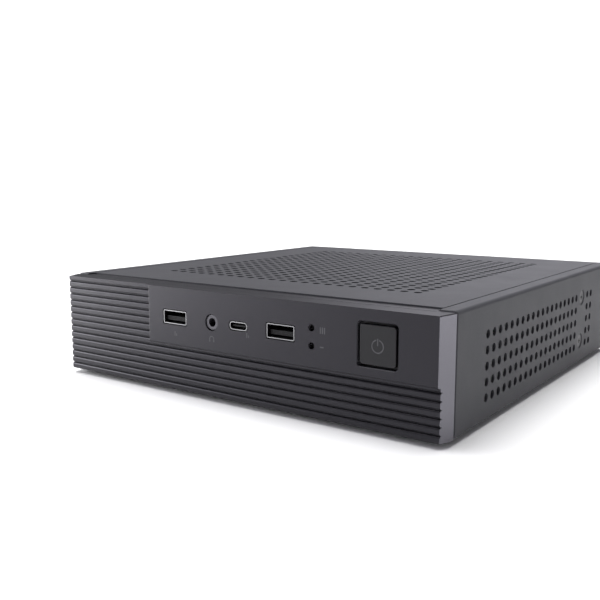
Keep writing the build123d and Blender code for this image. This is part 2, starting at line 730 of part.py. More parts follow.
def usb_c_insert():
    """The USB-C tongue and the base that lifts its shell off the board."""
    mouth = FRONT + FACE_SET_BACK
    blade = tongue(FRONT_USB_C_X, PORT_Z, 6.6, 0.7, mouth, 1, USB_C[2], 0.8)
    base_top = PORT_Z - USB_C[1] / 2
    y0 = FRONT_BOARD_EDGE + 0.4
    base = block(FRONT_USB_C_X - 4, FRONT_USB_C_X + 4, y0, y0 + 1.3, FRONT_BOARD_TOP, base_top)
    return group([blade, base])


def audio_jack(x, z, mouth, inwards, base):
    """A 3.5 mm jack: a round barrel at the face and a square body behind it."""
    barrel_length = 4.0
    end = mouth + inwards * barrel_length
    back = mouth + inwards * (JACK_DEPTH + 1.5)
    jack = rod((x, mouth, z), (0, inwards, 0), JACK_BARREL, barrel_length)
    jack = fillet(jack.edges().filter_by(lambda e: abs(e.center().Y - mouth) < 0.01), JACK_ROUND)
    jack += block(x - 3.6, x + 3.6, *sorted((end, back)), base, z + 3.4)
    return jack - rod((x, mouth - inwards, z), (0, inwards, 0), JACK_BORE, JACK_DEPTH + 1)


def rear_audio_jacks():
    """Two jacks on the rear panel."""
    return group(audio_jack(x, REAR_JACK_Z, REAR_FACE, -1, BOARD_TOP) for x in REAR_JACK_X)


def lan_port():
    """The network socket: a metal box with a keyed opening."""
    width, height, depth = LAN
    y0 = REAR_FACE - depth
    body = block(LAN_X - width / 2, LAN_X + width / 2, y0, REAR_FACE, BOARD_TOP, BOARD_TOP + height)
    z0 = BOARD_TOP + 2.2
    body -= block(LAN_X - 5.9, LAN_X + 5.9, REAR_FACE - LAN_CAVITY, REAR_FACE + 1, z0 + 1.8, z0 + 8.8)
    body -= block(LAN_X - 3.1, LAN_X + 3.1, REAR_FACE - LAN_CAVITY, REAR_FACE + 1, z0, z0 + 1.8)
    return body


def lan_contacts():
    """Eight spring contacts along the roof of the network socket."""
    z = BOARD_TOP + 11.0
    y0 = REAR_FACE - LAN_CAVITY
    bars = []
    for i in range(8):
        x = LAN_X + 1.02 * (i - 3.5)
        bars.append(block(x - 0.22, x + 0.22, y0, y0 + 9, z - 0.35, z))
    return bars


def dc_inlet():
    """The power inlet's body with its round well."""
    width, height, depth = DC_BODY
    y0 = REAR_FACE - depth
    body = block(DC_X - width / 2, DC_X + width / 2, y0, REAR_FACE, BOARD_TOP, BOARD_TOP + height)
    return body - rod((DC_X, REAR_FACE + 1, BOARD_TOP + 6), (0, -1, 0), 3.1, DC_WELL + 1)


def dc_pin():
    """The centre pin of the power inlet."""
    pin = rod((DC_X, REAR_FACE - DC_WELL, BOARD_TOP + 6), (0, 1, 0), 1.0, DC_WELL - 1.0)
    return fillet(pin.edges().filter_by(GeomType.CIRCLE).sort_by(Axis.Y)[-1], 0.5)


def rear_io_shield():
    """The thin plate that closes the rear opening around the sockets."""
    plate_y = TRAY_BACK - 0.8
    half = SHIELD_HALF - 0.1
    rim_half = SHIELD_HALF + 1.2
    top = SHIELD_TOP - 0.1
    shield = block(-half, half, plate_y, plate_y + 0.5, SHIELD_BOTTOM + 0.1, top)
    rim_back = TRAY_BACK - SHEET
    rim_front = rim_back - 0.6
    shield += block(-rim_half, rim_half, rim_front, rim_back, BOARD_TOP, SHIELD_TOP + 1.2)
    shield += block(-half, half, rim_front, plate_y + 0.1, BOARD_TOP, top)
    y0 = TRAY_BACK - 4
    y1 = TRAY_BACK + 1
    gap = 2 * PORT_GAP
    cutters = []
    for x, z in REAR_USB:
        cutters.append(rounded_bar(x, z, USB_A[0] + gap, USB_A[1] + gap, 0.8, y0, y1))
    cutters.append(rounded_bar(HDMI_X, LOW_PORT_Z, HDMI[0] + gap, HDMI[1] + gap, 0.8, y0, y1))
    width, height, depth = DISPLAY_PORT
    cutters.append(rounded_bar(DISPLAY_X, LOW_PORT_Z, width + gap, height + gap, 0.8, y0, y1))
    for x, (width, height, depth) in ((LAN_X, LAN), (DC_X, DC_BODY)):
        half = width / 2 + PORT_GAP
        top = BOARD_TOP + height + PORT_GAP
        cutters.append(block(x - half, x + half, y0, y1, BOARD_TOP - PORT_GAP, top))
    for x in REAR_JACK_X:
        cutters.append(rod((x, y0, REAR_JACK_Z), (0, 1, 0), JACK_BARREL + PORT_GAP, y1 - y0))
    return shield - cutters


# ---------------------------------------------------------------- front board

def front_io_board():
    """The small board behind the smooth panel."""
    board = block(-34, 85, FRONT_BOARD_EDGE, FRONT_BOARD_BACK, FRONT_BOARD_TOP - BOARD, FRONT_BOARD_TOP)
    for x in FRONT_SCREW_X:
        board -= rod((x, FRONT_SCREW_Y, 0), (0, 0, 1), SCREW_HOLE, TOP)
    return board


def front_board_bracket():
    """A bent bracket on the tray's front wall that carries the front board."""
    plate_z = FRONT_BOARD_TOP - BOARD - POST_HEIGHT - SHEET
    back = TRAY_FRONT + SHEET
    bracket = block(-36, 86, back, FRONT_BOARD_BACK, plate_z, plate_z + SHEET)
    bracket += block(-36, 86, back, back + SHEET, BRACKET_FOOT_Z, plate_z + SHEET)
    for x in FRONT_SCREW_X:
        post = ring((x, FRONT_SCREW_Y, plate_z), (0, 0, 1), 2.6, SCREW_HOLE, SHEET + POST_HEIGHT)
        bracket = bracket - rod((x, FRONT_SCREW_Y, 0), (0, 0, 1), SCREW_HOLE, TOP) + post
    for x in WALL_SCREW_X:
        bracket -= rod((x, back - 1, WALL_SCREW_Z), (0, 1, 0), SCREW_HOLE, 4)
    return bracket


def front_board_screws():
    """Screws that hold the front board to its bracket and the bracket to the tray."""
    screws = []
    for x in FRONT_SCREW_X:
        point = (x, FRONT_SCREW_Y, FRONT_BOARD_TOP)
        screws.append(pan_screw(point, (0, 0, -1), SCREW_RADIUS, 4.6, 2.7, 1.6))
    for x in WALL_SCREW_X:
        point = (x, TRAY_FRONT + 2 * SHEET, WALL_SCREW_Z)
        screws.append(pan_screw(point, (0, -1, 0), SCREW_RADIUS, 0.95, 2.7, 1.6))
    return screws


def status_leds():
    """The two light-emitting diodes, one on each face of the front board."""
    x0 = INDICATOR_X - DIODE_HALF
    x1 = INDICATOR_X + DIODE_HALF
    y0 = FRONT_BOARD_EDGE + 0.2
    y1 = y0 + DIODE_LENGTH
    under = FRONT_BOARD_TOP - BOARD
    upper = block(x0, x1, y0, y1, FRONT_BOARD_TOP, FRONT_BOARD_TOP + DIODE_HALF)
    return group([upper, block(x0, x1, y0, y1, under - DIODE_HALF, under)])


def light_guides():
    """Clear guides that carry the diodes' light to the panel."""
    radius = INDICATOR_RADIUS - 0.08
    low, high = INDICATOR_Z
    mouth = FRONT + GUIDE_SET_BACK
    x0 = INDICATOR_X - GUIDE_HALF
    x1 = INDICATOR_X + GUIDE_HALF
    y0 = FRONT_BOARD_EDGE
    upper = rod((INDICATOR_X, mouth, high), (0, 1, 0), radius, y0 - mouth)
    upper += block(x0, x1, y0 - 0.2, y0 + 1.9, FRONT_BOARD_TOP + 1.0, high + radius)
    y1 = y0 - 0.2
    y2 = y1 - 2.0
    lower = rod((INDICATOR_X, mouth, low), (0, 1, 0), radius, y2 + 0.2 - mouth)
    lower += block(x0, x1, y2, y1, low - 2.6, low + radius)
    return group([upper, lower])


def strip_in_yz(points, radius, thickness, x0, x1):
    """A flat cable: a band of constant thickness along a route in the YZ plane."""
    route = FilletPolyline(*points, radius=radius)
    return Pos(x0, 0, 0) * extrude(Plane.YZ * trace(route, thickness), x1 - x0)


def front_cable():
    """The flat cable from the front board to the motherboard."""
    return strip_in_yz(((-74.5, 35.0), (-74.5, 39.5), (-56, 39.5), (-56, 14.0)), 2.0, 0.8, 77.5, 83.5)


def cable_plugs():
    """The plugs and headers that the flat cables and the fan lead end in."""
    front_board = block(76, 84, -76.5, -72.5, FRONT_BOARD_TOP, 35.0)
    board_front = block(77, 84, -58, -54, BOARD_TOP, 14.0)
    sata = block(SATA_X - 6, SATA_X + 6, 67, 74, BOARD_TOP, 17.0)
    fan = block(3.6, 9.0, 16.0, 24.0, BOARD_TOP, 15.0)
    on_drive = block(SATA_X - 9, SATA_X + 9, DRIVE_BACK, DRIVE_BACK + 7, DRIVE_BASE + 0.6, DRIVE_BASE + 5.0)
    return group([front_board, board_front, sata, fan, on_drive])


# ---------------------------------------------------------------- motherboard

def board_holes():
    """The places of the motherboard's four screws."""
    return [(x, y) for x in (-BOARD_HOLE_X, BOARD_HOLE_X) for y in BOARD_HOLES_Y]


def cooler_holes():
    """The places of the cooler's four screws."""
    reach = SINK_SIZE / 2 - 6.0
    return [(CPU_X + sx * reach, CPU_Y + sy * reach) for sx in (-1, 1) for sy in (-1, 1)]


def motherboard():
    """The main board with its screw holes."""
    half = BOARD_SIZE / 2
    board = block(-half, half, BOARD_FRONT, BOARD_BACK, BOARD_BOTTOM, BOARD_TOP)
    return board - [rod((x, y, 0), (0, 0, 1), SCREW_HOLE, TOP) for x, y in board_holes() + cooler_holes()]


def board_standoffs():
    """Threaded standoffs on the floor, and the posts under the far ends of the two cards."""
    height = BOARD_BOTTOM - FLOOR
    tall = [ring((x, y, FLOOR), (0, 0, 1), 3.0, SCREW_HOLE, height) for x, y in board_holes()]
    posts = [ring((x, y, BOARD_TOP), (0, 0, 1), 2.6, 1.1, CARD_Z - BOARD_TOP) for x, y in CARD_ENDS]
    return group(tall + posts)


def board_screws():
    """Pan-head screws that hold the motherboard."""
    return [pan_screw((x, y, BOARD_TOP), (0, 0, -1), SCREW_RADIUS, 5.5, 3.0, 1.8) for x, y in board_holes()]


def board_chips():
    """Soldered chips and small connectors, as separate low blocks."""
    places = ((-70, 44, 8, 6), (-56, 44, 8, 6), (30, 8, 12, 12), (14, 30, 10, 8), (34, 28, 9, 9))
    places += ((-8, 71, 10, 8), (80, 60, 5, 8), (-80, 20, 5, 12), (30, 44, 6, 6), (-62, 76, 12, 8))
    chips = []
    for x, y, width, length in places:
        dx = width / 2
        dy = length / 2
        chips.append(block(x - dx, x + dx, y - dy, y + dy, BOARD_TOP, BOARD_TOP + 1.2))
    return group(chips)


def power_inductors():
    """A row of square inductors beside the processor."""
    row = []
    for i in range(INDUCTORS):
        x = -72.0 + 11.0 * i
        body = block(x - 3.6, x + 3.6, 50.4, 57.6, BOARD_TOP, BOARD_TOP + 5.0)
        upright = body.edges().filter_by(Axis.Z)
        row.append(chamfer(upright, 1.0))
    return group(row)


def capacitors():
    """Upright can capacitors behind the inductors."""
    cans = []
    for i in range(CAPACITORS):
        can = rod((-76.0 + 11.0 * i, 64.0, BOARD_TOP), (0, 0, 1), 3.15, 7.5)
        cans.append(fillet(can.edges().sort_by(Axis.Z)[-1], 0.5))
    return group(cans)


def chipset_heatsink():
    """A small finned block on the platform chip."""
    sink = block(2, 26, 44, 66, BOARD_TOP, BOARD_TOP + 2.5)
    for i in range(7):
        x = 3.2 + 3.6 * i
        sink += block(x - 0.6, x + 0.6, 44, 66, BOARD_TOP + 2.5, BOARD_TOP + 9.0)
    return sink


def coin_cell_holder():
    """The open ring that holds the clock's cell."""
    holder = rod((CELL_X, CELL_Y, BOARD_TOP), (0, 0, 1), 12.0, 3.6)
    holder -= rod((CELL_X, CELL_Y, BOARD_TOP + 0.8), (0, 0, 1), 10.2, 4)
    return holder - block(CELL_X - 6, CELL_X + 6, CELL_Y - 14, CELL_Y - 6, BOARD_TOP + 0.8, BOARD_TOP + 5)


def coin_cell():
    """The round cell that keeps the clock going."""
    cell = rod((CELL_X, CELL_Y, BOARD_TOP + 0.8), (0, 0, 1), 10.0, 3.2)
    return fillet(cell.edges().sort_by(Axis.Z)[-1], 0.6)


# ---------------------------------------------------------------- processor and cooler

def cpu_socket():
    """The processor's socket frame."""
    half = SOCKET_SIZE / 2
    seat = CPU_SIZE / 2 + 0.1
    frame = block(CPU_X - half, CPU_X + half, CPU_Y - half, CPU_Y + half, BOARD_TOP, BOARD_TOP + 3.2)
    z0 = BOARD_TOP + 0.8
    return frame - block(CPU_X - seat, CPU_X + seat, CPU_Y - seat, CPU_Y + seat, z0, BOARD_TOP + 5)


def processor():
    """The processor: a substrate and its metal lid."""
    half = CPU_SIZE / 2
    lid = half - 3.5
    base = block(CPU_X - half, CPU_X + half, CPU_Y - half, CPU_Y + half, BOARD_TOP + 0.8, BOARD_TOP + 2.4)
    return base + block(CPU_X - lid, CPU_X + lid, CPU_Y - lid, CPU_Y + lid, BOARD_TOP + 2.4, CPU_TOP)


def cooler_back_plate():
    """The plate under the board that the cooler's screws pull on."""
    half = SINK_SIZE / 2 - 2
    plate = block(CPU_X - half, CPU_X + half, CPU_Y - half, CPU_Y + half, BOARD_BOTTOM - 1.5, BOARD_BOTTOM)
    inner = half - 10
    plate -= block(CPU_X - inner, CPU_X + inner, CPU_Y - inner, CPU_Y + inner, 0, TOP)
    return plate - [rod((x, y, 0), (0, 0, 1), SCREW_HOLE, TOP) for x, y in cooler_holes()]


def heatsink():
    """The cooler's base and straight fins, shorter at the corners that hold the screws."""
    half = SINK_SIZE / 2
    base_top = CPU_TOP + SINK_BASE
    sink = block(CPU_X - half, CPU_X + half, CPU_Y - half, CPU_Y + half, CPU_TOP, base_top)
    count = int(SINK_SIZE / FIN_PITCH)
    first = CPU_X - FIN_PITCH * (count - 1) / 2
    fins = []
    for i in range(count):
        x = first + FIN_PITCH * i
        reach = half - SINK_CORNER if abs(x - CPU_X) > half - SINK_CORNER else half
        x0 = x - FIN_THICKNESS / 2
        fins.append(block(x0, x0 + FIN_THICKNESS, CPU_Y - reach, CPU_Y + reach, base_top, SINK_TOP))
    sink -= [rod((x, y, 0), (0, 0, 1), SCREW_HOLE, TOP) for x, y in cooler_holes()]
    return sink + fins


def cooler_screws():
    """Screws from the cooler's base down to the plate under the board."""
    length = CPU_TOP + SINK_BASE - BOARD_BOTTOM + 1.4
    start_z = CPU_TOP + SINK_BASE
    down = (0, 0, -1)
    return [pan_screw((x, y, start_z), down, SCREW_RADIUS, length, 3.2, 2.2) for x, y in cooler_holes()]


def fan_places():
    """The corners where the fan is screwed down."""
    return [(CPU_X + sx * FAN_HOLE, CPU_Y + sy * FAN_HOLE) for sx in (-1, 1) for sy in (-1, 1)]


def fan_frame():
    """The square fan frame, its spokes, motor plate and bearing tube."""
    base = SINK_TOP
    top = base + FAN_HEIGHT
    face = Pos(CPU_X, CPU_Y) * (RectangleRounded(FAN_SIZE, FAN_SIZE, 5) - Circle(FAN_BORE))
    frame = Pos(0, 0, base) * extrude(face, FAN_HEIGHT)
    for turn in (45, 135):
        spoke = Pos(CPU_X, CPU_Y, base + SPOKE / 2) * Rot(0, 0, turn) * Box(2 * FAN_BORE + 2, 3.5, SPOKE)
        frame += spoke
    frame += rod((CPU_X, CPU_Y, base), (0, 0, 1), HUB_RADIUS, SPOKE)
    frame += rod((CPU_X, CPU_Y, base), (0, 0, 1), 3.0, FAN_HEIGHT - 2.5)
    frame -= rod((CPU_X, CPU_Y, base + 0.6), (0, 0, 1), SHAFT_RADIUS + SHAFT_CLEARANCE, FAN_HEIGHT)
    return frame - [rod((x, y, base - 1), (0, 0, 1), 1.7, FAN_HEIGHT + 2) for x, y in fan_places()]


def fan_stator():
    """The wound core around the bearing tube, inside the hub."""
    z = SINK_TOP + SPOKE
    core = ring((CPU_X, CPU_Y, z), (0, 0, 1), 10.0, 3.05, 4.2)
    slots = []
    for i in range(4):
        slots.append(Pos(CPU_X, CPU_Y, z + 2.1) * Rot(0, 0, 45 + 90 * i) * Pos(8.6, 0, 0) * Box(5, 1.6, 6))
    return core - slots


def fan_screws():
    """Screws through the fan's corners."""
    top = SINK_TOP + FAN_HEIGHT
    return [pan_screw((x, y, top), (0, 0, -1), 1.5, FAN_HEIGHT, 2.9, 1.4) for x, y in fan_places()]


def fan_impeller():
    """The hub cup with its twisted blades."""
    floor_z = SINK_TOP + SPOKE + 0.4
    cap_z = SINK_TOP + FAN_HEIGHT - 0.4
    cup = rod((CPU_X, CPU_Y, floor_z), (0, 0, 1), HUB_RADIUS, cap_z - floor_z)
    cup = fillet(cup.edges().sort_by(Axis.Z)[-1], 0.8)
    cup -= rod((CPU_X, CPU_Y, floor_z - 1), (0, 0, 1), HUB_RADIUS - 1.5, cap_z - floor_z - 0.4)
    middle = (floor_z + cap_z) / 2
    for i in range(BLADES):
        place = Pos(CPU_X, CPU_Y, middle) * Rot(0, 0, 360 / BLADES * i)
        cup += place * fan_blade()
    return cup


def fan_blade():
    """One blade, lofted from a steep root to a flatter tip."""
    root = Plane(origin=(HUB_RADIUS - 0.8, 0, 0), x_dir=(0, 1, 0), z_dir=(1, 0, 0))
    tip = Plane(origin=(IMPELLER_RADIUS, 2.5, 0), x_dir=(0, 1, 0), z_dir=(1, 0, 0))
    sections = [root * Rot(0, 0, 40) * Ellipse(4.4, 0.65), tip * Rot(0, 0, 26) * Ellipse(7.0, 0.5)]
    blade = loft([section.faces()[0] for section in sections])
    return blade & Cylinder(IMPELLER_RADIUS, 20)


def fan_shaft():
    """The steel shaft in the fan's hub."""
    base = SINK_TOP + 1.0
    cap_z = SINK_TOP + FAN_HEIGHT - 1.8
    return rod((CPU_X, CPU_Y, base), (0, 0, 1), SHAFT_RADIUS, cap_z - base)


def fan_lead():
    """The fan's lead, bent down to its header."""
    start_x = CPU_X + FAN_SIZE / 2
    lead_z = SINK_TOP + 2.2
    route = FilletPolyline((start_x, 20, lead_z), (6.3, 20, lead_z), (6.3, 20, 15.0), radius=4.0)
    return sweep(Plane(origin=(start_x, 20, lead_z), z_dir=(1, 0, 0)) * Circle(0.9), path=route)


# ---------------------------------------------------------------- memory, storage, wireless

def memory_sockets():
    """Two low memory sockets with their side arms."""
    sockets = []
    for y in MEMORY_Y:
        x0, x1 = MEMORY_X
        bar = block(x0, x1, y, y + 6.5, BOARD_TOP, BOARD_TOP + 4.6)
        bar -= block(x0 + 2.2, x1 - 2.2, y + 2.0, y + 7, MODULE_Z - 0.05, MODULE_Z + 1.05)
        for x in (x0, x1 - 2.0):
            bar += block(x, x + 2.0, y, y + MODULE_DEPTH, BOARD_TOP, BOARD_TOP + 4.0)
        sockets.append(bar)
    return group(sockets)


def memory_modules():
    """Two memory modules lying in their sockets."""
    x0, x1 = MEMORY_X
    cards = []
    for y in MEMORY_Y:
        cards.append(block(x0 + 2.3, x1 - 2.3, y + 2.2, y + 2.2 + MODULE_DEPTH, MODULE_Z, MODULE_Z + 1.0))
    return group(cards)


def memory_chips():
    """The chips on the memory modules."""
    chips = []
    for y in MEMORY_Y:
        for i in range(4):
            x = MEMORY_X[0] + 11.0 + 17.0 * i
            chips.append(block(x - 5.5, x + 5.5, y + 14, y + 26, MODULE_Z + 1.0, MODULE_Z + 2.0))
    return chips


def m2_drive():
    """The M.2 solid-state drive's card with its screw notch."""
    card = block(-82, M2_ROOT + 1, M2_Y - 11, M2_Y + 11, 12.0, 12.8)
    return card - rod((-82, M2_Y, 0), (0, 0, 1), 1.8, TOP)


def m2_chips():
    """The chips on the M.2 drive."""
    chips = []
    for x, length in ((-66, 14), (-46, 14), (-28, 12), (-13, 8)):
        chips.append(block(x - length / 2, x + length / 2, M2_Y - 7.5, M2_Y + 7.5, 12.8, 13.9))
    return chips


def card_sockets():
    """The edge sockets of the M.2 drive and the wireless card."""
    drive = block(M2_ROOT, M2_ROOT + 6, M2_Y - 11.5, M2_Y + 11.5, BOARD_TOP, 13.6)
    drive -= block(M2_ROOT - 1, M2_ROOT + 1.2, M2_Y - 11.1, M2_Y + 11.1, 11.95, 12.85)
    wireless = block(WIFI_X - 11.5, WIFI_X + 11.5, 38, 44, BOARD_TOP, 13.6)
    wireless -= block(WIFI_X - 11.1, WIFI_X + 11.1, 42.8, 45, 11.95, 12.85)
    return group([drive, wireless])


def card_screws():
    """The small screws at the far ends of the two cards."""
    return [pan_screw((x, y, CARD_Z + 0.8), (0, 0, -1), 1.0, 2.6, 2.5, 1.0) for x, y in CARD_ENDS]


def wifi_card():
    """The wireless card and its shield can."""
    card = block(WIFI_X - 11, WIFI_X + 11, 43.0, WIFI_END, 12.0, 12.8)
    card -= rod((WIFI_X, WIFI_END, 0), (0, 0, 1), 1.8, TOP)
    return card + block(WIFI_X - 8.5, WIFI_X + 8.5, 46.5, 66.0, 12.8, 14.4)


def drive_bracket():
    """A bent bridge between the side walls that carries the drive over the board."""
    ear_out = INNER - DIMPLE_DEPTH
    ear_in = ear_out - SHEET
    top = BRACKET_Z + SHEET
    bracket = block(-ear_out, ear_out, 40.0, 59.0, BRACKET_Z, top)
    bracket += block(8.0, 86.0, DRIVE_BACK - DRIVE_LENGTH - 1, 59.0, BRACKET_Z, top)
    bracket -= block(20.0, 74.0, DRIVE_BACK - DRIVE_LENGTH + 12, 38.0, BRACKET_Z - 1, top + 1)
    for side in (-1, 1):
        x0, x1 = sorted((side * ear_in, side * ear_out))
        bracket += block(x0, x1, 42.0, 57.0, BOARD_BOTTOM, top)
        for z in SIDE_SCREW_Z:
            bracket -= rod((side * (ear_in - 1), SIDE_SCREW_Y, z), (side, 0, 0), SCREW_HOLE, 3)
    return bracket - [rod((x, y, BRACKET_Z - 1), (0, 0, 1), SCREW_HOLE, 3) for x, y in drive_holes()]


def drive_holes():
    """The places of the four screws under the drive."""
    rows = (DRIVE_BACK - 9.4, DRIVE_BACK - 86.0)
    return [(DRIVE_X + side * 30.9, y) for side in (-1, 1) for y in rows]


def drive():
    """The flat 2.5 inch drive: a closed case with screw holes and a raised lid."""
    half = DRIVE_WIDTH / 2
    front = DRIVE_BACK - DRIVE_LENGTH
    top = DRIVE_BASE + DRIVE_HEIGHT
    body = block(DRIVE_X - half, DRIVE_X + half, front, DRIVE_BACK, DRIVE_BASE, top - 0.6)
    body = fillet(body.edges().filter_by(Axis.Z), 2.0)
    body += block(DRIVE_X - half + 2, DRIVE_X + half - 2, front + 2, DRIVE_BACK - 2, top - 0.6, top)
    return body - [rod((x, y, DRIVE_BASE - 1), (0, 0, 1), SCREW_HOLE, 4.5) for x, y in drive_holes()]


def drive_screws():
    """Screws from under the bracket into the drive."""
    return [pan_screw((x, y, BRACKET_Z), (0, 0, 1), SCREW_RADIUS, 4.0, 2.7, 1.3) for x, y in drive_holes()]


def drive_cable():
    """The drive's flat cable, from its plug down to the motherboard."""
    z = DRIVE_BASE + 2.8
    return strip_in_yz(((DRIVE_BACK + 7, z), (70.5, z), (70.5, 17.0)), 3.5, 1.0, SATA_X - 4.5, SATA_X + 4.5)


FRONT_FACE = FRONT + FACE_SET_BACK
FRONT_USB = [(x, PORT_Z) for x in FRONT_USB_X]
REAR_USB = [(x, z) for x in REAR_USB_X for z in (LOW_PORT_Z, HIGH_PORT_Z)]
FRONT_C_SHELL = (FRONT_USB_C_X, PORT_Z, USB_C, 1.5, FRONT_FACE, 1, 0.35)

PARTS = {
    "base_tray": base_tray,
    "cover_rails": cover_rails,
    "vesa_nuts": vesa_nuts,
    "rubber_feet": rubber_feet,
    "side_screws": side_screws,
    "top_cover": top_cover,
    "thumbscrew_ferrules": thumb_ferrules,
    "cover_thumbscrews": thumbscrews,
    "front_bezel": front_bezel,
    "front_pictograms": front_pictograms,
    "power_button_cap": power_button_cap,
    "power_symbol": lambda: power_symbol_form(0.02),
    "switch_plunger": switch_plunger,
    "power_switch": power_switch,
    "front_usb_a_shells": lambda: usb_shells(FRONT_USB, FRONT_FACE, 1),
    "rear_usb_a_shells": lambda: usb_shells(REAR_USB, REAR_FACE, -1),
    "usb_a_tongues": usb_tongues,
    "front_usb_c_shell": lambda: socket_shell(*FRONT_C_SHELL),
    "front_usb_c_insert": usb_c_insert,
    "front_audio_jack": lambda: audio_jack(FRONT_JACK_X, PORT_Z, FRONT + JACK_SET_BACK, 1, FRONT_BOARD_TOP),
    "rear_audio_jacks": rear_audio_jacks,
    "video_shells": video_shells,
    "video_tongues": video_tongues,
    "lan_port": lan_port,
    "dc_inlet": dc_inlet,
    "port_contacts": lambda: group(lan_contacts() + [dc_pin()]),
    "rear_io_shield": rear_io_shield,
    "status_leds": status_leds,
    "light_guides": light_guides,
    "front_io_board": front_io_board,
    "front_board_bracket": front_board_bracket,
    "flat_cables": lambda: group([front_cable(), drive_cable()]),
    "cable_plugs": cable_plugs,
    "motherboard": motherboard,
    "board_standoffs": board_standoffs,
    "machine_screws": lambda: group(front_board_screws() + board_screws() + card_screws() + drive_screws()),
    "board_chips": board_chips,
    "power_inductors": power_inductors,
    "capacitors": capacitors,
    "chipset_heatsink": chipset_heatsink,
    "coin_cell_holder": coin_cell_holder,
    "coin_cell": coin_cell,
    "cpu_socket": cpu_socket,
    "processor": processor,
    "cooler_back_plate": cooler_back_plate,
    "heatsink": heatsink,
    "cooler_screws": lambda: group(cooler_screws() + fan_screws()),
    "fan_frame": fan_frame,
    "fan_stator": fan_stator,
    "fan_lead": fan_lead,
    "fan_impeller": fan_impeller,
    "fan_shaft": fan_shaft,
    "memory_sockets": memory_sockets,
    "memory_modules": memory_modules,
    "card_sockets": card_sockets,
    "m2_drive": m2_drive,
    "wifi_card": wifi_card,
    "card_chips": lambda: group(memory_chips() + m2_chips()),
    "drive_bracket": drive_bracket,
    "drive": drive,
}

os.makedirs("parts", exist_ok=True)
for name, make in PARTS.items():
    export_step(make(), f"parts/{name}.step")
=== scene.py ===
"""The looks of the mini PC: camera, light, floor, and a procedural material for every sub-part."""

import json
import math

import bpy
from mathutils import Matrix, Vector


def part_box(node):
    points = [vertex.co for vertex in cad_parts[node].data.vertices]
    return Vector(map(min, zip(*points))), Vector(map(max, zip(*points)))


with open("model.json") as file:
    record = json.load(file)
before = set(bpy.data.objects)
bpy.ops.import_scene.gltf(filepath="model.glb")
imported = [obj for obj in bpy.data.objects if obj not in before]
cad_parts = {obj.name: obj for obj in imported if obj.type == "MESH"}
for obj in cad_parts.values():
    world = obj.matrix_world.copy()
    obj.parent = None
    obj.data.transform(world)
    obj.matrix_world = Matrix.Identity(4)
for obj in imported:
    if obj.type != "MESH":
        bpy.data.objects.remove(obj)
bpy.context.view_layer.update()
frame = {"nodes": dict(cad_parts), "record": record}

MM = 0.001
NODES = frame["nodes"]

# Camera: its place from the top front right corner of the steel case, and where it looks
CAMERA_REACH = Vector((0.1063, -0.2389, 0.0423))
CAMERA_TURN = 35.65
CAMERA_DOWN = 8.56
CAMERA_LENS = 46.65

# Texture scale of a grain of one millimetre, and of the slow unevenness of a surface
GRAIN = 1.0 / MM
UNEVEN = 60.0

# Front moulding: a slightly violet sheen, and how much a face must look sideways to take the painted
# sheen of the side faces
FRONT_TINT = (0.93, 0.9, 1.0, 1.0)
PAINTED_SHEEN_FACING = (0.8, 0.9)
# Painted sheen on the side faces: more metal and less roughness to go with their lighter colour
PAINTED_SHEEN_METAL = 0.75
PAINTED_SHEEN_SMOOTHER = -0.14

# Light: the sky as seen and its even part, soft glows as (direction, width, strength), low lights over
# the floor as (name, place, size, power), and the sun-like light overhead
SKY_SEEN = 1.3
SKY = 0.22
SKY_COLOUR = (0.93, 0.92, 1.0, 1.0)
GLOWS = [((-1.0, -0.42, 0.0), 0.22, 6.0), ((-0.2, 1.0, 0.12), 0.12, 1.3)]
FLOOR_LIGHTS = [
    ("floor_left", (-0.35, -0.27, 0.1), 0.25, 1.7),
    ("floor_right", (0.38, 0.02, 0.1), 0.2, 0.14),
]
OVERHEAD = 4.2
OVERHEAD_FROM = (-0.22, 0.15, 1.0)
OVERHEAD_WIDTH = 60.0
FLOOR_SIZE = 12.0
FLOOR_TONE = 0.92


# ---------------------------------------------------------------- camera, light and floor

def set_camera():
    """A camera at the front right, a little above the case."""
    low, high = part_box("base_tray")
    data = bpy.data.cameras.new("camera")
    data.lens = CAMERA_LENS
    data.sensor_width = 36.0
    data.clip_start = 0.005
    camera = bpy.data.objects.new("camera", data)
    camera.location = Vector((high.x, low.y, high.z)) + CAMERA_REACH
    camera.rotation_euler = (math.radians(90.0 - CAMERA_DOWN), 0.0, math.radians(CAMERA_TURN))
    bpy.context.scene.collection.objects.link(camera)
    bpy.context.scene.camera = camera


def add_floor_light(name, place, size, power):
    """A square soft light that points straight down."""
    data = bpy.data.lights.new(name, "AREA")
    data.shape = "SQUARE"
    data.size = size
    data.energy = power
    light = bpy.data.objects.new(name, data)
    light.location = place
    light.rotation_euler = Vector((0, 0, -place[2])).to_track_quat("-Z", "Y").to_euler()
    bpy.context.scene.collection.objects.link(light)


def direction_glow(tree, direction, width, strength):
    """Light from the part of the sky around a direction, fading out over a width."""
    source = tree.nodes.new("ShaderNodeTexCoord")
    dot = tree.nodes.new("ShaderNodeVectorMath")
    dot.operation = "DOT_PRODUCT"
    dot.inputs[1].default_value = Vector(direction).normalized()
    tree.links.new(source.outputs["Generated"], dot.inputs[0])
    fade = tree.nodes.new("ShaderNodeMapRange")
    fade.interpolation_type = "SMOOTHSTEP"
    fade.inputs["From Min"].default_value = 1.0 - width
    fade.inputs["From Max"].default_value = 1.0
    fade.inputs["To Max"].default_value = strength
    tree.links.new(dot.outputs["Value"], fade.inputs["Value"])
    return fade.outputs["Result"]


def add(tree, first, second):
    """The sum of two numbers."""
    node = tree.nodes.new("ShaderNodeMath")
    node.operation = "ADD"
    tree.links.new(first, node.inputs[0])
    tree.links.new(second, node.inputs[1])
    return node.outputs["Value"]


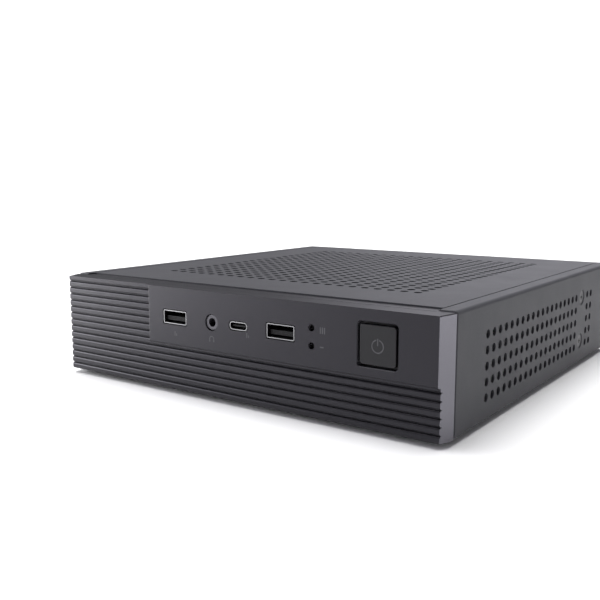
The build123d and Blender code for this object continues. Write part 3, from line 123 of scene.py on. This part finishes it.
def set_sky():
    """A white sky that lights the object evenly, with soft glows."""
    world = bpy.data.worlds.new("studio")
    world.use_nodes = True
    tree = world.node_tree
    output = tree.nodes["World Output"]
    seen = tree.nodes["Background"]
    seen.inputs["Color"].default_value = (1.0, 1.0, 1.0, 1.0)
    seen.inputs["Strength"].default_value = SKY_SEEN
    lit = tree.nodes.new("ShaderNodeBackground")
    lit.inputs["Color"].default_value = SKY_COLOUR
    even = tree.nodes.new("ShaderNodeValue")
    even.outputs["Value"].default_value = SKY
    strength = even.outputs["Value"]
    for direction, width, peak in GLOWS:
        strength = add(tree, strength, direction_glow(tree, direction, width, peak))
    tree.links.new(strength, lit.inputs["Strength"])
    path = tree.nodes.new("ShaderNodeLightPath")
    mix = tree.nodes.new("ShaderNodeMixShader")
    tree.links.new(path.outputs["Is Camera Ray"], mix.inputs["Fac"])
    tree.links.new(lit.outputs["Background"], mix.inputs[1])
    tree.links.new(seen.outputs["Background"], mix.inputs[2])
    tree.links.new(mix.outputs["Shader"], output.inputs["Surface"])
    bpy.context.scene.world = world


def set_lights():
    """A wide light overhead and two low ones over the floor beside the case."""
    data = bpy.data.lights.new("overhead", "SUN")
    data.energy = OVERHEAD
    data.angle = math.radians(OVERHEAD_WIDTH)
    light = bpy.data.objects.new("overhead", data)
    light.rotation_euler = (-Vector(OVERHEAD_FROM)).to_track_quat("-Z", "Y").to_euler()
    bpy.context.scene.collection.objects.link(light)
    for name, place, size, power in FLOOR_LIGHTS:
        add_floor_light(name, place, size, power)
    bpy.context.scene.view_settings.view_transform = "Standard"


def add_floor():
    """A wide pale floor."""
    bpy.ops.mesh.primitive_plane_add(size=FLOOR_SIZE, location=(0, 0, 0))
    floor = bpy.context.object
    floor.name = "floor"
    material, shader = new_material("floor_paper")
    shader.inputs["Base Color"].default_value = (FLOOR_TONE, FLOOR_TONE, FLOOR_TONE, 1.0)
    shader.inputs["Roughness"].default_value = 0.9
    shader.inputs["Specular IOR Level"].default_value = 0.1
    floor.data.materials.append(material)


# ---------------------------------------------------------------- material helpers

def new_material(name):
    """A material with its one shader."""
    material = bpy.data.materials.new(name)
    material.use_nodes = True
    return material, material.node_tree.nodes["Principled BSDF"]


def coordinates(tree, scale=(1, 1, 1)):
    """Places on the surface in the object's own frame, stretched by a scale."""
    source = tree.nodes.new("ShaderNodeTexCoord")
    mapping = tree.nodes.new("ShaderNodeMapping")
    mapping.inputs["Scale"].default_value = scale
    tree.links.new(source.outputs["Object"], mapping.inputs["Vector"])
    return mapping.outputs["Vector"]


def noise(tree, vector, scale, detail=3.0, roughness=0.55):
    """A noise value over the surface."""
    node = tree.nodes.new("ShaderNodeTexNoise")
    node.inputs["Scale"].default_value = scale
    node.inputs["Detail"].default_value = detail
    node.inputs["Roughness"].default_value = roughness
    tree.links.new(vector, node.inputs["Vector"])
    return node.outputs["Fac"]


def facing(tree, axis, low, high):
    """1 where the surface faces along an axis of the object, either way, and 0 elsewhere."""
    source = tree.nodes.new("ShaderNodeTexCoord")
    parts = tree.nodes.new("ShaderNodeSeparateXYZ")
    tree.links.new(source.outputs["Normal"], parts.inputs["Vector"])
    size = tree.nodes.new("ShaderNodeMath")
    size.operation = "ABSOLUTE"
    tree.links.new(parts.outputs[axis], size.inputs[0])
    fade = tree.nodes.new("ShaderNodeMapRange")
    fade.inputs["From Min"].default_value = low
    fade.inputs["From Max"].default_value = high
    tree.links.new(size.outputs["Value"], fade.inputs["Value"])
    return fade.outputs["Result"]


def ramp(tree, value, stops):
    """A colour for each value, from (position, colour) stops."""
    node = tree.nodes.new("ShaderNodeValToRGB")
    elements = node.color_ramp.elements
    while len(elements) < len(stops):
        elements.new(0.5)
    for element, (position, colour) in zip(elements, stops):
        element.position = position
        element.color = (*colour, 1.0)
    tree.links.new(value, node.inputs["Fac"])
    return node.outputs["Color"]


def between(tree, value, low, high):
    """A number that goes from low to high with a value."""
    node = tree.nodes.new("ShaderNodeMapRange")
    node.inputs["To Min"].default_value = low
    node.inputs["To Max"].default_value = high
    tree.links.new(value, node.inputs["Value"])
    return node.outputs["Result"]


def bump(tree, shader, height, depth, strength=1.0):
    """Raise the surface by a height value, at most by a depth in metres."""
    node = tree.nodes.new("ShaderNodeBump")
    node.inputs["Strength"].default_value = strength
    node.inputs["Distance"].default_value = depth
    tree.links.new(height, node.inputs["Height"])
    tree.links.new(node.outputs["Normal"], shader.inputs["Normal"])


def shade(colour, factor):
    """A colour made lighter or darker."""
    return tuple(min(1.0, c * factor) for c in colour)


def grained(name, colour, rough, grain, depth, spread=0.12, metal=0.0, specular=0.5):
    """A fine-grained surface: colour and roughness that vary a little, and a grain in relief."""
    material, shader = new_material(name)
    tree = material.node_tree
    place = coordinates(tree)
    fine = noise(tree, place, GRAIN / grain, 4.0)
    broad = noise(tree, place, UNEVEN, 2.0)
    shader.inputs["Metallic"].default_value = metal
    shader.inputs["Specular IOR Level"].default_value = specular
    tone = ramp(tree, fine, [(0.25, shade(colour, 1 - spread)), (0.75, shade(colour, 1 + spread))])
    tree.links.new(tone, shader.inputs["Base Color"])
    tree.links.new(between(tree, broad, rough - 0.05, rough + 0.05), shader.inputs["Roughness"])
    bump(tree, shader, fine, depth * MM)
    return material


def front_moulding_with_painted_sheen(name, colour, painted_sheen_colour):
    """Smooth dark moulding whose side faces carry a painted sheen: a lighter, more metallic and
    smoother colour in place of the light they reflect.
    """
    material, shader = new_material(name)
    tree = material.node_tree
    place = coordinates(tree)
    fine = noise(tree, place, GRAIN / 0.3, 4.0)
    broad = noise(tree, place, UNEVEN, 2.0)
    # Painted sheen: faces looking sideways get a lighter colour, standing in for the light they
    # reflect
    painted_sheen_faces = facing(tree, "X", *PAINTED_SHEEN_FACING)
    dark = ramp(tree, fine, [(0.25, shade(colour, 0.88)), (0.75, shade(colour, 1.12))])
    painted_sheen = ramp(tree, fine, [(0.25, shade(painted_sheen_colour, 0.94)), (0.75, shade(painted_sheen_colour, 1.06))])
    mix = tree.nodes.new("ShaderNodeMix")
    mix.data_type = "RGBA"
    tree.links.new(painted_sheen_faces, mix.inputs["Factor"])
    tree.links.new(dark, mix.inputs["A"])
    tree.links.new(painted_sheen, mix.inputs["B"])
    tree.links.new(mix.outputs["Result"], shader.inputs["Base Color"])
    tree.links.new(between(tree, painted_sheen_faces, 0.0, PAINTED_SHEEN_METAL), shader.inputs["Metallic"])
    rough = add(tree, between(tree, broad, 0.31, 0.38), between(tree, painted_sheen_faces, 0.0, PAINTED_SHEEN_SMOOTHER))
    tree.links.new(rough, shader.inputs["Roughness"])
    shader.inputs["Specular IOR Level"].default_value = 0.32
    shader.inputs["Specular Tint"].default_value = FRONT_TINT
    bump(tree, shader, fine, 0.003 * MM)
    return material


def brushed(name, colour, rough, along=(1, 40, 40)):
    """A metal with fine drawn streaks along one axis."""
    material, shader = new_material(name)
    tree = material.node_tree
    streaks = noise(tree, coordinates(tree, along), 260.0, 3.0)
    shader.inputs["Metallic"].default_value = 1.0
    tone = ramp(tree, streaks, [(0.3, shade(colour, 0.82)), (0.7, shade(colour, 1.08))])
    tree.links.new(tone, shader.inputs["Base Color"])
    tree.links.new(between(tree, streaks, rough - 0.08, rough + 0.1), shader.inputs["Roughness"])
    bump(tree, shader, streaks, 0.01 * MM, 0.5)
    return material


def circuit_board(name, colour):
    """Solder mask over copper tracks, with vias."""
    material, shader = new_material(name)
    tree = material.node_tree
    place = coordinates(tree)
    tracks = tree.nodes.new("ShaderNodeTexBrick")
    tracks.inputs["Scale"].default_value = 90.0
    tracks.inputs["Mortar Size"].default_value = 0.03
    tracks.inputs["Color1"].default_value = (*colour, 1)
    tracks.inputs["Color2"].default_value = (*shade(colour, 0.75), 1)
    tracks.inputs["Mortar"].default_value = (*shade(colour, 1.9), 1)
    tree.links.new(place, tracks.inputs["Vector"])
    tree.links.new(tracks.outputs["Color"], shader.inputs["Base Color"])
    vias = tree.nodes.new("ShaderNodeTexVoronoi")
    vias.inputs["Scale"].default_value = 220.0
    tree.links.new(place, vias.inputs["Vector"])
    tree.links.new(between(tree, vias.outputs["Distance"], 0.25, 0.4), shader.inputs["Roughness"])
    bump(tree, shader, tracks.outputs["Fac"], 0.03 * MM, 0.6)
    return material


# ---------------------------------------------------------------- the finish of each slot

def make_finishes():
    """One material for each of the record's slots: colour, roughness, grain in mm, relief in mm."""
    coat = (0.045, 0.045, 0.051)
    button = (0.0055, 0.0052, 0.007)
    tongue = (0.007, 0.007, 0.0075)
    guide = (0.006, 0.006, 0.0065)
    return {
        "powder_coated_steel": grained("powder_coat", coat, 0.52, 0.45, 0.012, specular=0.22),
        # The second colour is painted sheen on the side faces of the front moulding
        "moulded_front": front_moulding_with_painted_sheen(
            "front_moulding_with_painted_sheen", (0.007, 0.0068, 0.0085), (0.142, 0.139, 0.155)
        ),
        "button_plastic": grained("button_moulding", button, 0.3, 0.3, 0.003, specular=0.28),
        "pale_print": grained("print", (0.045, 0.045, 0.05), 0.6, 0.2, 0.003),
        "plated_steel": brushed("plated_steel", (0.55, 0.56, 0.57), 0.4),
        "screw_steel": brushed("screw_steel", (0.05, 0.05, 0.053), 0.4),
        "socket_shell": brushed("socket_shell", (0.24, 0.24, 0.245), 0.3),
        "brass_fittings": brushed("brass_fittings", (0.6, 0.47, 0.22), 0.35),
        "foot_rubber": grained("foot_rubber", (0.018, 0.018, 0.018), 0.8, 0.5, 0.02),
        "dark_tongue": grained("tongue_moulding", tongue, 0.5, 0.3, 0.005, specular=0.15),
        "jack_collar": grained("jack_collar", (0.06, 0.058, 0.066), 0.33, 0.3, 0.003, metal=0.6),
        "jack_plastic": grained("jack_moulding", (0.012, 0.012, 0.013), 0.4, 0.3, 0.005),
        "gold_contact": brushed("gold_contact", (0.8, 0.58, 0.24), 0.25),
        "diode": grained("diode", (0.75, 0.76, 0.78), 0.3, 0.3, 0.003),
        "light_guide": grained("light_guide", guide, 0.35, 0.5, 0.002, specular=0.2),
        "circuit_board": circuit_board("solder_mask", (0.012, 0.05, 0.032)),
        "cable_sleeve": grained("cable_sleeve", (0.03, 0.03, 0.031), 0.55, 0.4, 0.01),
        "plug_plastic": grained("plug_moulding", (0.045, 0.045, 0.046), 0.5, 0.3, 0.006),
        "chip_package": grained("chip_package", (0.028, 0.028, 0.03), 0.55, 0.25, 0.006),
        "can_metal": brushed("can_metal", (0.72, 0.72, 0.73), 0.3),
        "sink_aluminium": brushed("sink_aluminium", (0.62, 0.63, 0.64), 0.38, (40, 1, 40)),
        "fan_plastic": grained("fan_moulding", (0.02, 0.02, 0.021), 0.42, 0.3, 0.006),
        "copper_winding": brushed("copper_winding", (0.6, 0.28, 0.12), 0.4, (40, 40, 300)),
        "drive_case": grained("drive_case", (0.3, 0.305, 0.31), 0.42, 0.3, 0.01, metal=1.0),
    }


def dress_nodes():
    """Give every CAD node the finish of its slot."""
    finishes = make_finishes()
    for entry in frame["record"]["subparts"]:
        node = NODES[entry["node"]]
        node.data.materials.clear()
        node.data.materials.append(finishes[entry["material_slot"]])


set_camera()
set_sky()
set_lights()
add_floor()
dress_nodes()
